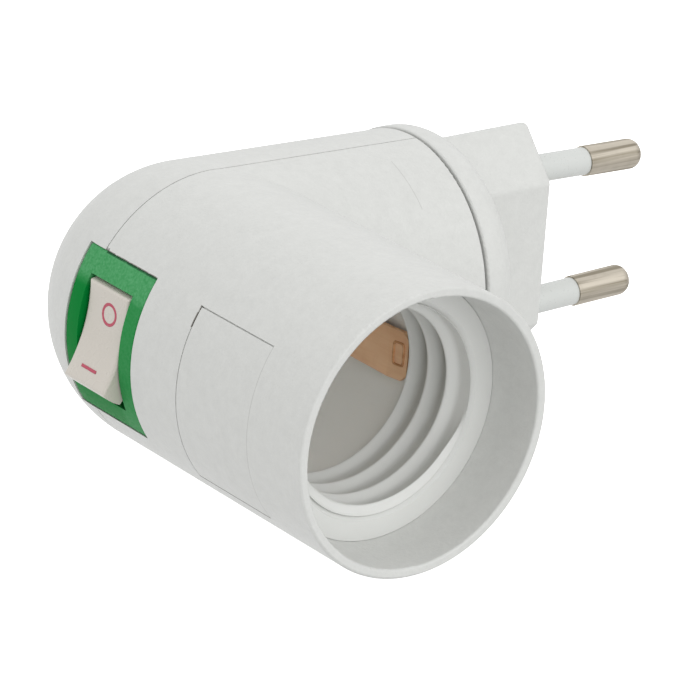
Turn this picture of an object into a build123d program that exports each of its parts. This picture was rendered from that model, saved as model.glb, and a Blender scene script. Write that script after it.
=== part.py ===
from build123d import *
import os
from math import atan, cos, degrees, pi, radians, sin, sqrt, tan

# Switched plug-in lamp socket: an elbow housing with an E27 socket, a rocker switch on its end
# and a two-pin plug that swivels in the neck.
# Millimetres. Origin at the middle of the plug's face, +X along the pins towards the wall,
# -Y out of the socket's mouth, +Z from the lower pin to the upper pin.

# Elbow housing
socket_x = -51.2        # socket axis, parallel to Y
mouth_y = -46.3         # socket rim
mouth_flare = 0.15      # widening of the tube from the elbow to the rim
neck_end_x = -19.0      # outer face of the neck's end wall
wall = 1.6
end_wall = 1.9
seam_y = -1.3           # parting plane of the two shells
seam_gap = 0.15         # open line between the two shells
rim_edge = 0.35         # rounding of the socket's rim
neck_edge_round = 0.2
panel_width = 14.4      # panel on the tube, along the socket axis, outlined by a fine groove
panel_from_ledge = 2.4  # its open edge towards the rim, behind the ledge
panel_top = 34.0        # its ends round the tube, in degrees from the switch's side
panel_bottom = 41.0
panel_line = 0.16       # groove
panel_depth = 0.3

# Socket
thread_r = 13.4         # root of the E27 thread
thread_length = 11.2
entry_flare = 0.65      # widening of the thread's mouth at the ledge
entry_depth = 0.7
well_step = 0.4         # plain well below the thread, beyond its root
well_depth = 14.0
collar_depth = 8.1
collar_wall = 1.25      # tube's wall at the rim
collar_taper = 0.5      # narrowing of the collar from the rim to the ledge
sleeve_wall = 1.1
sleeve_room = 1.7       # air between the sleeve and the housing's wall
sleeve_flange = 2.0     # thickness of the ledge ring
shoulder = 2.2          # ring of the tube that carries the ledge
sleeve_floor = 1.6
seat_gap = 0.05         # clearance of pieces that sit still in each other
insert_gap = 0.02       # clearance of pieces that are moulded round each other

# Plug
plug_half_width = 16.5
plug_half_depth = 6.0
plug_flat_half = 9.7
plug_edge = 0.8
plug_corner = 1.0
flange_lip = 0.2        # flange beyond the neck's end
flange_rim = 1.5        # straight part of the flange's edge
flange_round = 4.0
flange_edge = 0.25      # rounding of the flange's edge towards the neck
swivel_gap = 0.3        # open line between the neck and the flange
journal_wall = 1.4      # tube that turns in the neck's end wall
swivel_clearance = 0.08
catch_reach = 1.6       # catch ring behind the end wall, beyond the journal
catch_room = 0.7        # air between the catch ring and the neck's wall
catch_width = 2.0
catch_gap = 0.3
tail_room = 0.38        # air round the pins' tails in the plug's well
plug_floor = 3.5        # flange left in front of the well
pin_spacing = 18.6      # at the face
pin_tip_spacing = 17.5
pin_length = 19.0
pin_r = 2.0
pin_sleeve_length = 10.0
pin_sleeve_r = 1.82
pin_core_r = 1.4
pin_sleeve_root = 4.0   # sleeve inside the plug
pin_tip_round = 1.5
pin_head_r = 1.7
pin_head = 1.2
pin_tail = 3.4
pin_relief = 0.3        # shallow ring round each pin in the plug's face
pin_relief_depth = 0.4
stop_width = 2.4        # swivel stop lug and its two ribs
stop_reach = 2.6
stop_depth = 1.8
stop_play = 0.25

# Switch
switch_room = 0.7       # air between the sleeve's floor and the switch box
window_half = 10.4      # half height of the window
bezel = 1.9             # thickness of the curved plate
bezel_sink = 0.1        # plate below the housing's surface
bezel_border = 2.7      # plate on each side of the rocker opening
plate_gap = 0.1         # open line round the plate
frame_wall = 1.3
lip = 1.1               # lip that the shells trap, on each side of the window
lip_width = 1.05
contact_room = 1.25     # lever to the switch base
base = 1.4
pivot_depth = 3.3       # housing surface to the rocker's pivot
rocker_width = 8.2
rocker_half = 6.0       # half length of the rocker's face
rocker_rise = 3.7       # face ends above the pivot
rocker_hollow = 0.9     # depth of the saddle in the face
rocker_skirt = 0.6
rocker_edge = 0.45
bezel_edge = 0.35
bezel_corner = 0.5
rocker_play = 0.4       # at each end of the rocker's swing
rocker_side_gap = 0.3
rocker_tilt = 15.0      # each side of the middle
trunnion_r = 1.0
trunnion_length = 1.1
trunnion_clearance = 0.05
stem_half = 2.2
stem_length = 3.4
bore_r = 1.25
bore_top = 1.5
plunger_clearance = 0.1
plunger_seat = 1.4      # top of the plunger below the pivot
plunger_head = 1.9
nose_r = 0.8
nose_round = 0.7
nose_reach = 6.0        # tip of the plunger below the pivot
nose_gap = 0.15
spring_wire_r = 0.2
spring_turns = 3
lever_half = 5.2
lever_width = 3.2
lever_sheet = 0.5
lever_tilt = 7.0
fulcrum_gap = 0.05
terminal_sheet = 0.8
terminal_width = 3.2
terminal_shoulder = 1.0
terminal_tail = 3.4
contact_z = 4.6         # fixed contact above the switch's middle
button_r = 1.0
button_gap = 0.1
slot_play = 0.06

# Lamp contacts
strip = 0.5
side_width = 6.4
side_reach = 1.2        # strip stands this far in front of the thread's root
side_tip = 0.6          # top of the strip below the thread
side_lean = 3.0         # leaning top of the strip
side_lean_out = 0.6
side_foot = 9.0
side_corner = 0.9
centre_width = 5.0
centre_tail_gap = 1.6   # tail through the floor, from the well's wall
centre_tail_rivet = 2.3 # tail to rivet
centre_flat = 3.8       # flat foot under the rivet
centre_rise = 4.6
centre_crown = 3.2      # flat top of the contact, each side of the axis
centre_lip = 1.4
centre_droop = 0.6
tail_length = 4.6
rivet_r = 0.9
rivet_head_r = 1.7
rivet_head = 0.7
rivet_round = 0.4

# Screws that close the housing
screw_offset = 1.0      # screw axis past the tube, towards the plug
screw_inset = 7.2       # screw axis inside the elbow's side
boss_wall = 0.9
screw_r = 1.3
screw_play = 0.2
screw_head_r = 2.3
screw_head = 1.7
screw_seat_y = 4.0
screw_grip = 7.0        # thread in the front shell
screw_recess_r = 1.0
screw_recess = 0.9
screw_recess_width = 0.5

# Leads
lead_r = 0.9
lead_exit = 2.6         # straight run out of a pin

# Places worked out from the sizes
ledge_y = mouth_y + collar_depth
thread_low_y = ledge_y + thread_length
floor_y = thread_low_y + well_depth
floor_back_y = floor_y + sleeve_floor
well_r = thread_r + well_step
sleeve_r = well_r + sleeve_wall
elbow_r = sleeve_r + sleeve_room + wall     # round end, and tube and neck where they cross
mouth_r = elbow_r + mouth_flare             # tube at the rim
collar_r = mouth_r - collar_wall
collar_foot_r = collar_r - collar_taper
flange_x = neck_end_x + swivel_gap
flange_top_x = flange_x + flange_rim + flange_round
well_x = flange_top_x - plug_floor
pin_lean = degrees(atan((pin_spacing - pin_tip_spacing) / 2 / pin_length))
pin_head_z = -well_x / cos(radians(pin_lean)) + pin_head_r * tan(radians(pin_lean)) + seat_gap
pin_tail_z = pin_head_z + pin_head + pin_tail
plug_well_r = pin_spacing / 2 + pin_tail_z * sin(radians(pin_lean)) + pin_head_r + tail_room
swivel_r = plug_well_r + journal_wall       # journal in the neck's end wall
catch_r = swivel_r + catch_reach
neck_r = catch_r + catch_room + wall        # neck at its end
flange_r = neck_r + flange_lip
catch_x = neck_end_x - end_wall - catch_gap
catch_back_x = catch_x - catch_width
pivot_x = socket_x - elbow_r + pivot_depth
lever_x = pivot_x + nose_reach + nose_gap + lever_sheet
frame_x = lever_x + contact_room
base_x = frame_x + base
rocker_swing = sqrt(rocker_rise**2 + rocker_half**2)
slot_half = rocker_swing + rocker_play
slot_width = rocker_width + rocker_side_gap * 2
window_width = slot_width + bezel_border * 2
switch_y = floor_back_y + switch_room + frame_wall + slot_width / 2
tail_x = base_x + terminal_tail
side_x = socket_x + thread_r - side_reach
side_rivet_x = side_x - side_foot / 2
centre_tail_z = well_r - centre_tail_gap
centre_rivet_z = centre_tail_z - centre_tail_rivet
screw_x = socket_x + elbow_r + screw_offset
screw_z = elbow_r - screw_inset
screw_well_r = screw_head_r + screw_play
boss_r = screw_well_r + boss_wall
panel_rim_y = ledge_y + panel_from_ledge
panel_back_y = panel_rim_y + panel_width

socket_axis = Axis((socket_x, 0, 0), (0, 1, 0))

pin_planes = {
    side: Plane(
        origin=(0, 0, side * pin_spacing / 2),
        x_dir=(0, 1, 0),
        z_dir=(cos(radians(pin_lean)), 0, -side * sin(radians(pin_lean))),
    )
    for side in (1, -1)
}


def tube_r(y):
    return elbow_r + (mouth_r - elbow_r) * y / mouth_y


def neck_radius(x):
    return elbow_r + (neck_r - elbow_r) * (x - socket_x) / (neck_end_x - socket_x)


def block(x0, x1, y0, y1, z0, z1, mode=Mode.ADD):
    with Locations(((x0 + x1) / 2, (y0 + y1) / 2, (z0 + z1) / 2)):
        Box(abs(x1 - x0), abs(y1 - y0), abs(z1 - z0), mode=mode)


def finish(part, name):
    part.label = name
    export_step(part, "parts/" + name + ".step")
    print(name, round(part.volume, 1))


os.makedirs("parts", exist_ok=True)

cut_low_x = socket_x - mouth_r - wall
cut_high_x = socket_x - elbow_r / 2
window_back_y = switch_y + window_width / 2
window_front_y = switch_y - window_width / 2
shoulder_back_y = ledge_y + sleeve_flange + shoulder
inner_r = elbow_r - wall
inner_end_x = neck_end_x - end_wall

# Housing, made whole: a socket tube with a round end, and a neck across it.
# Its hollow leaves the screw bosses and the two ribs of the swivel's stop standing.
with BuildPart() as housing_hollow:
    with BuildSketch(Plane.XY):
        with BuildLine():
            RadiusArc((socket_x, inner_r), (socket_x - inner_r, 0), -inner_r)
            Polyline(
                (socket_x - inner_r, 0),
                (socket_x - tube_r(shoulder_back_y) + wall, shoulder_back_y),
                (socket_x - sleeve_r - seat_gap, shoulder_back_y),
                (socket_x - sleeve_r - seat_gap, ledge_y + sleeve_flange),
                (socket_x - collar_foot_r, ledge_y + sleeve_flange),
                (socket_x - collar_foot_r, ledge_y),
                (socket_x - collar_r, mouth_y),
                (socket_x, mouth_y),
                (socket_x, inner_r),
            )
        make_face()
    revolve(axis=socket_axis)
    with BuildSketch(Plane.XZ):
        with BuildLine():
            Polyline(
                (socket_x, 0),
                (socket_x, inner_r),
                (inner_end_x, neck_radius(inner_end_x) - wall),
                (inner_end_x, 0),
                close=True,
            )
        make_face()
    revolve(axis=Axis.X)
    with BuildSketch(Plane.XZ):
        with Locations((screw_x, screw_z), (screw_x, -screw_z)):
            Circle(boss_r)
    extrude(amount=neck_r, both=True, mode=Mode.SUBTRACT)
    for side in (1, -1):
        block(catch_back_x - stop_depth - stop_play, catch_back_x - stop_play,
              -stop_width / 2 - stop_play - stop_width, -stop_width / 2 - stop_play,
              side * (catch_r - stop_reach), side * neck_r, mode=Mode.SUBTRACT)

with BuildPart() as housing:
    with BuildSketch(Plane.XY):
        with BuildLine():
            RadiusArc((socket_x, elbow_r), (socket_x - elbow_r, 0), -elbow_r)
            Polyline(
                (socket_x - elbow_r, 0),
                (socket_x - mouth_r, mouth_y),
                (socket_x, mouth_y),
                (socket_x, elbow_r),
            )
        make_face()
    revolve(axis=socket_axis)
    with BuildSketch(Plane.XZ):
        with BuildLine():
            Polyline(
                (socket_x, 0),
                (socket_x, elbow_r),
                (neck_end_x, neck_r),
                (neck_end_x, 0),
                close=True,
            )
        make_face()
    revolve(axis=Axis.X)
    add(housing_hollow.part, mode=Mode.SUBTRACT)
    with BuildSketch(Plane.YZ.offset(neck_end_x)):
        Circle(swivel_r + swivel_clearance)
    extrude(amount=-end_wall, mode=Mode.SUBTRACT)
    rim_edges = housing.edges().filter_by(GeomType.CIRCLE).group_by(Axis.Y)[0]
    fillet(rim_edges, rim_edge)
    neck_edges = housing.edges().filter_by(GeomType.CIRCLE).group_by(Axis.X)[-1]
    fillet(neck_edges.sort_by(SortBy.RADIUS)[-1], neck_edge_round)
    block(cut_low_x, cut_high_x, window_front_y, window_back_y, -window_half, window_half,
          mode=Mode.SUBTRACT)

# Groove round a panel on the tube, open towards the rim: one turn of it, and a run along each end
line_turn = degrees(panel_line / elbow_r)
groove_arcs = (
    (panel_back_y - panel_line, -panel_bottom, panel_bottom + panel_top),
    (panel_rim_y, -panel_bottom, line_turn),
    (panel_rim_y, panel_top - line_turn, line_turn),
)
with BuildPart() as panel_groove:
    for groove_y, start, arc in groove_arcs:
        turn = radians(start)
        with BuildSketch(Plane((socket_x, 0, 0), x_dir=(0, 1, 0), z_dir=(sin(turn), 0, cos(turn)))):
            with BuildLine():
                Polyline(
                    (groove_y, tube_r(groove_y) - panel_depth),
                    (panel_back_y, tube_r(panel_back_y) - panel_depth),
                    (panel_back_y, elbow_r + wall),
                    (groove_y, elbow_r + wall),
                    close=True,
                )
            make_face()
        revolve(axis=socket_axis, revolution_arc=arc)

# The housing parts at the seam, into a front shell that the screws bite into and a back shell they pass
with BuildPart() as front_shell:
    add(housing.part)
    split(bisect_by=Plane.XZ.offset(-seam_y), keep=Keep.TOP)
    with BuildSketch(Plane.XZ.offset(-seam_y)):
        with Locations((screw_x, screw_z), (screw_x, -screw_z)):
            Circle(screw_r + seat_gap)
    extrude(amount=screw_grip + seat_gap, mode=Mode.SUBTRACT)
    add(panel_groove.part, mode=Mode.SUBTRACT)
finish(front_shell.part, "front_shell")

with BuildPart() as back_shell:
    add(housing.part)
    split(bisect_by=Plane.XZ.offset(-seam_y - seam_gap), keep=Keep.BOTTOM)
    with BuildSketch(Plane.XZ.offset(-seam_y)):
        with Locations((screw_x, screw_z), (screw_x, -screw_z)):
            Circle(screw_r + screw_play)
    extrude(amount=-elbow_r * 2, mode=Mode.SUBTRACT)
    with BuildSketch(Plane.XZ.offset(-screw_seat_y)):
        with Locations((screw_x, screw_z), (screw_x, -screw_z)):
            Circle(screw_well_r)
    extrude(amount=-elbow_r, mode=Mode.SUBTRACT)
finish(back_shell.part, "back_shell")

# Threaded cup: the ledge ring, the plain bore at the thread's root, and the well with its floor
with BuildPart() as thread_sleeve:
    with BuildSketch(Plane.XY):
        with BuildLine():
            Polyline(
                (socket_x, floor_y),
                (socket_x - well_r, floor_y),
                (socket_x - well_r, thread_low_y),
                (socket_x - thread_r, thread_low_y),
                (socket_x - thread_r, ledge_y + entry_depth),
                (socket_x - thread_r - entry_flare, ledge_y),
                (socket_x - collar_foot_r + seat_gap, ledge_y),
                (socket_x - collar_foot_r + seat_gap, ledge_y + sleeve_flange),
                (socket_x - sleeve_r, ledge_y + sleeve_flange),
                (socket_x - sleeve_r, floor_back_y),
                (socket_x, floor_back_y),
                close=True,
            )
        make_face()
    revolve(axis=socket_axis)
    block(side_x - slot_play, side_x + strip + slot_play, floor_y, floor_back_y,
          -side_width / 2 - slot_play, side_width / 2 + slot_play, mode=Mode.SUBTRACT)
    block(socket_x - centre_width / 2 - slot_play, socket_x + centre_width / 2 + slot_play,
          floor_y, floor_back_y,
          centre_tail_z - slot_play, centre_tail_z + strip + slot_play, mode=Mode.SUBTRACT)
    with BuildSketch(Plane.XZ.offset(-floor_back_y)):
        with Locations((side_rivet_x, 0), (socket_x, centre_rivet_z)):
            Circle(rivet_r + seat_gap)
    extrude(amount=sleeve_floor, mode=Mode.SUBTRACT)
finish(thread_sleeve.part, "thread_sleeve")

# Side contact: a strip up the wall of the well, its foot bent under the floor
foot_y = floor_back_y + seat_gap
side_top_y = thread_low_y + side_tip
with BuildPart() as side_contact:
    with BuildSketch(Plane.XY.offset(-side_width / 2)):
        with BuildLine():
            Polyline(
                (side_x + side_lean_out, side_top_y),
                (side_x, side_top_y + side_lean),
                (side_x, foot_y),
                (side_x - side_foot, foot_y),
                (side_x - side_foot, foot_y + strip),
                (side_x + strip, foot_y + strip),
                (side_x + strip, side_top_y + side_lean),
                (side_x + strip + side_lean_out, side_top_y),
                close=True,
            )
        make_face()
    extrude(amount=side_width)
    tip_corners = side_contact.edges().filter_by(Axis.X, tolerance=1).group_by(Axis.Y)[0]
    chamfer(tip_corners, side_corner)
    with BuildSketch(Plane.XZ.offset(-foot_y - strip)):
        with Locations((side_rivet_x, 0)):
            Circle(rivet_r + seat_gap)
    extrude(amount=strip, mode=Mode.SUBTRACT)
finish(side_contact.part, "side_contact")

# Centre contact: tail through the floor, riveted foot, and a spring arch over the socket axis
sole_y = floor_y - seat_gap
crown_y = sole_y - centre_rise
with BuildPart() as centre_contact:
    with BuildSketch(Plane.YZ.offset(socket_x - centre_width / 2)):
        with BuildLine():
            Polyline(
                (floor_back_y + tail_length, centre_tail_z + strip),
                (floor_back_y + tail_length, centre_tail_z),
                (sole_y, centre_tail_z),
                (sole_y, centre_rivet_z - centre_flat / 2),
                (crown_y, centre_crown),
                (crown_y, -centre_crown),
                (crown_y + centre_droop, -centre_crown - centre_lip),
                (crown_y + centre_droop - strip, -centre_crown - centre_lip),
                (crown_y - strip, -centre_crown),
                (crown_y - strip, centre_crown),
                (sole_y - strip, centre_rivet_z - centre_flat / 2),
                (sole_y - strip, centre_tail_z + strip),
                close=True,
            )
        make_face()
    extrude(amount=centre_width)
    with BuildSketch(Plane.XZ.offset(-sole_y)):
        with Locations((socket_x, centre_rivet_z)):
            Circle(rivet_r + seat_gap)
    extrude(amount=strip, mode=Mode.SUBTRACT)
finish(centre_contact.part, "centre_contact")

# Rivets: a shank with a head on each side of the sleeve's floor and the strip
rivet_grips = {
    "side_rivet": (side_rivet_x, 0, floor_y, foot_y + strip),
    "centre_rivet": (socket_x, centre_rivet_z, sole_y - strip, floor_back_y),
}
for name, (rivet_x, rivet_z, front_y, back_y) in rivet_grips.items():
    with BuildPart() as rivet:
        with BuildSketch(Plane.XZ.offset(-back_y)):
            with Locations((rivet_x, rivet_z)):
                Circle(rivet_r)
        extrude(amount=back_y - front_y)
        with BuildSketch(Plane.XZ.offset(-front_y), Plane.XZ.offset(-back_y - rivet_head)):
            with Locations((rivet_x, rivet_z)):
                Circle(rivet_head_r)
        extrude(amount=rivet_head)
        rims = rivet.edges().filter_by(GeomType.CIRCLE).sort_by(Axis.Y)
        fillet([rims[0], rims[-1]], rivet_round)
    finish(rivet.part, name)

# Plug: flange, journal and catch ring turned about X, and the six-sided block with its face
with BuildPart() as plug_body:
    with BuildSketch(Plane.XZ):
        with BuildLine():
            Polyline(
                (flange_top_x, flange_r - flange_round),
                (flange_top_x, 0),
                (well_x, 0),
                (well_x, plug_well_r),
                (catch_back_x, plug_well_r),
                (catch_back_x, catch_r),
                (catch_x, catch_r),
                (catch_x, swivel_r),
                (flange_x, swivel_r),
                (flange_x, flange_r),
                (flange_x + flange_rim, flange_r),
            )
            RadiusArc((flange_x + flange_rim, flange_r), (flange_top_x, flange_r - flange_round),
                      flange_round)
        make_face()
    revolve(axis=Axis.X)
    flange_back = plug_body.faces().filter_by(Plane.YZ).filter_by_position(Axis.X, flange_x, flange_x)
    fillet(flange_back.edges().sort_by(SortBy.RADIUS)[-1], flange_edge)
    with BuildSketch(Plane.YZ.offset(well_x + plug_floor / 2)) as plug_outline:
        with BuildLine():
            Polyline(
                (0, plug_half_width),
                (plug_half_depth, plug_flat_half),
                (plug_half_depth, -plug_flat_half),
                (0, -plug_half_width),
                (-plug_half_depth, -plug_flat_half),
                (-plug_half_depth, plug_flat_half),
                close=True,
            )
        make_face()
        fillet(plug_outline.vertices(), plug_corner)
    extrude(amount=-well_x - plug_floor / 2)
    fillet(plug_body.faces().sort_by(Axis.X)[-1].edges(), plug_edge)
    for side in (1, -1):
        pin_plane = pin_planes[side]
        with BuildSketch(pin_plane.offset(-pin_sleeve_root)):
            Circle(pin_sleeve_r + insert_gap)
        extrude(amount=pin_sleeve_root * 2, mode=Mode.SUBTRACT)
        with BuildSketch(pin_plane):
            Circle(pin_core_r + insert_gap)
        extrude(amount=-pin_head_z - pin_head, mode=Mode.SUBTRACT)
        with BuildSketch(Plane.YZ):
            with Locations((0, side * pin_spacing / 2)):
                Circle(pin_sleeve_r + pin_relief)
        extrude(amount=-pin_relief_depth, mode=Mode.SUBTRACT)
    block(catch_back_x - stop_depth, catch_back_x, catch_r - stop_reach, catch_r,
          -stop_width / 2, stop_width / 2)
finish(plug_body.part, "plug_body")

# Pins, leaning together towards their tips, each with a moulded sleeve on its root
for side, name in ((1, "upper"), (-1, "lower")):
    pin_plane = pin_planes[side]
    with BuildPart() as pin:
        with BuildSketch(pin_plane.offset(-pin_tail_z)):
            Circle(pin_core_r)
        extrude(amount=pin_tail_z + pin_sleeve_length)
        with BuildSketch(pin_plane.offset(pin_sleeve_length)):
            Circle(pin_r)
        extrude(amount=pin_length - pin_sleeve_length)
        fillet(pin.faces().sort_by(Axis.X)[-1].edges(), pin_tip_round)
        with BuildSketch(pin_plane.offset(-pin_head_z)):
            Circle(pin_head_r)
        extrude(amount=-pin_head)
    finish(pin.part, "pin_" + name)
    with BuildPart() as pin_sleeve:
        with BuildSketch(pin_plane.offset(-pin_sleeve_root + insert_gap)):
            Circle(pin_sleeve_r)
            Circle(pin_core_r + insert_gap, mode=Mode.SUBTRACT)
        extrude(amount=pin_sleeve_root + pin_sleeve_length - insert_gap * 2)
    finish(pin_sleeve.part, "pin_sleeve_" + name)

# Switch frame: a plate that follows the housing, a lip behind its window and a box for the mechanism
box_y0 = switch_y - slot_width / 2 - frame_wall
box_y1 = switch_y + slot_width / 2 + frame_wall
box_half = slot_half + frame_wall
lip_depth = wall + seat_gap * 2


def skin(outer, inner, y0, y1, z_half):
    # a patch of the housing's left end, from one depth below its surface to another
    outer_back = sqrt((elbow_r - outer) ** 2 - y1**2)
    inner_back = sqrt((elbow_r - inner) ** 2 - y1**2)
    with BuildPart() as patch:
        with BuildSketch(Plane.XY):
            with BuildLine():
                Polyline(
                    (socket_x - elbow_r + inner, 0),
                    (socket_x - tube_r(y0) + inner, y0),
                    (socket_x - tube_r(y0) + outer, y0),
                    (socket_x - elbow_r + outer, 0),
                )
                RadiusArc((socket_x - elbow_r + outer, 0), (socket_x - outer_back, y1), elbow_r - outer)
                Line((socket_x - outer_back, y1), (socket_x - inner_back, y1))
                RadiusArc((socket_x - inner_back, y1), (socket_x - elbow_r + inner, 0), inner - elbow_r)
            make_face()
        revolve(axis=socket_axis)
        block(cut_low_x, cut_high_x, y0, y1, -z_half, z_half, mode=Mode.INTERSECT)
    return patch.part


bezel_plate = skin(bezel_sink, bezel_sink + bezel, window_front_y + plate_gap, window_back_y - plate_gap,
                   window_half - plate_gap)
lip_plate = skin(lip_depth, lip_depth + lip_width, window_front_y - lip, window_back_y + lip, box_half)
with BuildPart() as frame_box:
    with BuildSketch(Plane.XZ.offset(-box_y1)):
        with Locations((socket_x, 0)):
            Circle(elbow_r - bezel_sink - bezel / 2)
    extrude(amount=box_y1 - box_y0)
    block(cut_low_x, frame_x, box_y0, box_y1, -box_half, box_half, mode=Mode.INTERSECT)

with BuildPart() as switch_frame:
    add(bezel_plate)
    fillet(switch_frame.edges().filter_by(Axis.X), bezel_corner)
    plate_front = switch_frame.faces().sort_by(Axis.X)[:2]
    plate_rim = [edge for edge in plate_front.edges() if abs(edge.center().Y) > seat_gap]
    fillet(plate_rim, bezel_edge)
    add(lip_plate)
    add(frame_box.part)
    block(cut_low_x, frame_x, switch_y - slot_width / 2, switch_y + slot_width / 2, -slot_half, slot_half,
          mode=Mode.SUBTRACT)
    with BuildSketch(Plane.XZ.offset(-switch_y)):
        with Locations((pivot_x, 0)):
            Circle(trunnion_r + trunnion_clearance)
    extrude(amount=slot_width / 2 + frame_wall, both=True, mode=Mode.SUBTRACT)
finish(switch_frame.part, "switch_frame")

contact_tab_z = contact_z + button_r - terminal_sheet
tab_y0 = switch_y - terminal_width / 2
tab_y1 = switch_y + terminal_width / 2
with BuildPart() as switch_base:
    block(frame_x, base_x, box_y0, box_y1, -box_half, box_half)
    block(lever_x + button_gap, frame_x, tab_y0, tab_y1, -contact_z - button_r, -contact_z + button_r)
    for tab_z in (-terminal_sheet / 2, contact_tab_z):
        block(frame_x, base_x, tab_y0 - slot_play, tab_y1 + slot_play,
              tab_z - slot_play, tab_z + terminal_sheet + slot_play, mode=Mode.SUBTRACT)
finish(switch_base.part, "switch_base")

with BuildPart() as terminal_common:
    block(lever_x + fulcrum_gap, tail_x, tab_y0, tab_y1, -terminal_sheet / 2, terminal_sheet / 2)
    block(frame_x - terminal_shoulder, frame_x, tab_y0 - terminal_shoulder, tab_y1 + terminal_shoulder,
          -terminal_sheet / 2, terminal_sheet / 2)
finish(terminal_common.part, "terminal_common")

with BuildPart() as terminal_contact:
    block(frame_x - terminal_sheet, tail_x, tab_y0, tab_y1, contact_tab_z, contact_tab_z + terminal_sheet)
    block(frame_x - terminal_sheet, frame_x, tab_y0, tab_y1, contact_z - button_r, contact_tab_z)
    with BuildSketch(Plane.YZ.offset(frame_x - terminal_sheet)):
        with Locations((switch_y, contact_z)):
            Circle(button_r)
    extrude(amount=lever_x + button_gap - frame_x + terminal_sheet)
finish(terminal_contact.part, "terminal_contact")

# Rocker, drawn across its pivot: u points out of the housing and v up, both turned by the tilt
tilt = radians(rocker_tilt)
out_dir = (-cos(tilt), 0, sin(tilt))
rocker_plane = Plane(origin=(pivot_x, switch_y, 0), x_dir=out_dir, z_dir=(0, 1, 0))
stem_plane = Plane(origin=(pivot_x, switch_y, 0), x_dir=(0, 1, 0), z_dir=out_dir)
skirt_v = sqrt(rocker_swing**2 - rocker_skirt**2)
end_turn = (atan(rocker_half / rocker_rise) + atan(skirt_v / rocker_skirt)) / 2
end_u = rocker_swing * cos(end_turn)
end_v = rocker_swing * sin(end_turn)
shoulder_v = (stem_half + rocker_half) / 2
with BuildPart() as rocker:
    with BuildSketch(rocker_plane):
        with BuildLine():
            ThreePointArc((rocker_rise, -rocker_half), (rocker_rise - rocker_hollow, 0),
                          (rocker_rise, rocker_half))
            ThreePointArc((rocker_rise, rocker_half), (end_u, end_v), (rocker_skirt, skirt_v))
            Polyline(
                (rocker_skirt, skirt_v),
                (-rocker_skirt, shoulder_v),
                (-stem_length, stem_half),
                (-stem_length, -stem_half),
                (-rocker_skirt, -shoulder_v),
                (rocker_skirt, -skirt_v),
            )
            ThreePointArc((rocker_skirt, -skirt_v), (end_u, -end_v), (rocker_rise, -rocker_half))
        make_face()
    extrude(amount=rocker_width / 2, both=True)
    rocker_face = rocker.faces().sort_by(Axis(rocker_plane.origin, out_dir))[-1]
    fillet(rocker_face.edges(), rocker_edge)
    with BuildSketch(rocker_plane):
        Circle(trunnion_r)
    extrude(amount=rocker_width / 2 + trunnion_length, both=True)
    with BuildSketch(stem_plane.offset(-stem_length)):
        Circle(bore_r)
    extrude(amount=stem_length + bore_top, mode=Mode.SUBTRACT)
finish(rocker.part, "rocker")

with BuildPart() as plunger:
    with BuildSketch(stem_plane.offset(-plunger_seat)):
        Circle(bore_r - plunger_clearance)
    extrude(amount=-plunger_head)
    with BuildSketch(stem_plane.offset(-plunger_seat - plunger_head)):
        Circle(nose_r)
    extrude(amount=plunger_seat + plunger_head - nose_reach)
    fillet(plunger.edges().filter_by(GeomType.CIRCLE).sort_by(Axis.X)[-1], nose_round)
finish(plunger.part, "plunger")

coil_r = bore_r - plunger_clearance - spring_wire_r
coil_height = bore_top + plunger_seat - spring_wire_r * 2 - insert_gap * 2
coil_foot = stem_plane.offset(-plunger_seat + spring_wire_r + insert_gap).origin
with BuildPart() as plunger_spring:
    with BuildLine() as coil:
        Helix(coil_height / spring_turns, coil_height, coil_r, center=coil_foot, direction=out_dir)
    with BuildSketch(Plane(origin=coil.line @ 0, z_dir=coil.line % 0)):
        Circle(spring_wire_r)
    sweep(path=coil.line, is_frenet=True)
finish(plunger_spring.part, "plunger_spring")

# Contact lever: a bent strip that rocks on the common terminal, tipped away from the fixed contact
dip = radians(lever_tilt)
lever_plane = Plane(origin=(lever_x, switch_y, 0), x_dir=(-cos(dip), 0, -sin(dip)), z_dir=(0, 1, 0))
arm_rise = lever_half * tan(dip)
with BuildPart() as contact_lever:
    with BuildSketch(lever_plane):
        with BuildLine():
            Polyline(
                (0, 0),
                (arm_rise, lever_half),
                (arm_rise + lever_sheet, lever_half),
                (lever_sheet, 0),
                (arm_rise + lever_sheet, -lever_half),
                (arm_rise, -lever_half),
                close=True,
            )
        make_face()
    extrude(amount=lever_width / 2, both=True)
finish(contact_lever.part, "contact_lever")

# Screws from the back, their heads sunk in the wells of the back shell
for side, name in ((1, "upper"), (-1, "lower")):
    with BuildPart() as screw:
        with BuildSketch(Plane.XZ.offset(-screw_seat_y)):
            with Locations((screw_x, side * screw_z)):
                Circle(screw_r)
        extrude(amount=screw_seat_y - seam_y + screw_grip)
        with BuildSketch(Plane.XZ.offset(-screw_seat_y)):
            with Locations((screw_x, side * screw_z)):
                Circle(screw_head_r)
        extrude(amount=-screw_head)
        with BuildSketch(Plane.XZ.offset(-screw_seat_y - screw_head)):
            with Locations((screw_x, side * screw_z)):
                Rectangle(screw_recess_r * 2, screw_recess_width)
                Rectangle(screw_recess_width, screw_recess_r * 2)
        extrude(amount=screw_recess, mode=Mode.SUBTRACT)
    finish(screw.part, "shell_screw_" + name)


def bend_radii(points):
    radii = []
    for before, corner, after in zip(points, points[1:], points[2:]):
        run_in = Vector(corner) - Vector(before)
        run_out = Vector(after) - Vector(corner)
        half_turn = radians(run_in.get_angle(run_out)) / 2
        radii.append(0.45 * min(run_in.length, run_out.length) / tan(half_turn))
    return radii


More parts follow.
